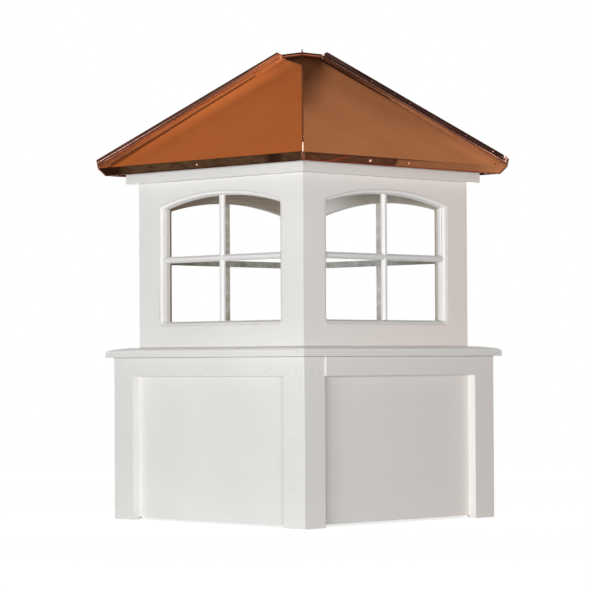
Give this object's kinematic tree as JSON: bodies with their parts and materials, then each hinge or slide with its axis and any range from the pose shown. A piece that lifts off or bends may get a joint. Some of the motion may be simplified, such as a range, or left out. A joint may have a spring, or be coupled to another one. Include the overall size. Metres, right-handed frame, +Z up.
{
  "type": "barn cupola",
  "caption": "Square white vinyl barn cupola with a panelled base, moulded ledge, arched muntin windows on every side and a hipped copper roof with standing hip seams.",
  "frame": {"origin": "centre of the footprint on the floor under the base posts, z = 0 at the feet of the posts", "axes": "+Z up; the front faces -Y; +X is the right side seen from the front; metres"},
  "size_m": [0.9992, 0.9992, 1.5891],
  "materials": {
    "white_vinyl": "satin white cellular vinyl boards, screwed together",
    "copper": "mill-finish copper sheet with a fine brushed grain, lightly darkened",
    "plywood": "plain exterior plywood"
  },
  "bodies": {
    "root": {"base_post_front_right": "white_vinyl", "base_post_back_right": "white_vinyl", "base_post_back_left": "white_vinyl", "base_post_front_left": "white_vinyl", "base_rail_front": "white_vinyl", "base_rail_right": "white_vinyl", "base_rail_back": "white_vinyl", "base_rail_left": "white_vinyl", "base_panel_front": "white_vinyl", "base_panel_right": "white_vinyl", "base_panel_back": "white_vinyl", "base_panel_left": "white_vinyl", "ledge_front": "white_vinyl", "ledge_right": "white_vinyl", "ledge_back": "white_vinyl", "ledge_left": "white_vinyl", "window_wall_front": "white_vinyl", "window_wall_right": "white_vinyl", "window_wall_back": "white_vinyl", "window_wall_left": "white_vinyl", "window_lining_front": "plywood", "window_lining_right": "plywood", "window_lining_back": "plywood", "window_lining_left": "plywood", "muntins_front": "white_vinyl", "muntins_right": "white_vinyl", "muntins_back": "white_vinyl", "muntins_left": "white_vinyl", "frieze_front": "white_vinyl", "frieze_right": "white_vinyl", "frieze_back": "white_vinyl", "frieze_left": "white_vinyl", "roof_panel_front": "copper", "roof_panel_right": "copper", "roof_panel_back": "copper", "roof_panel_left": "copper", "hip_seam_front_right": "copper", "hip_seam_back_right": "copper", "hip_seam_back_left": "copper", "hip_seam_front_left": "copper", "roof_deck": "plywood", "roof_cap": "copper"}
  },
  "joints": []
}
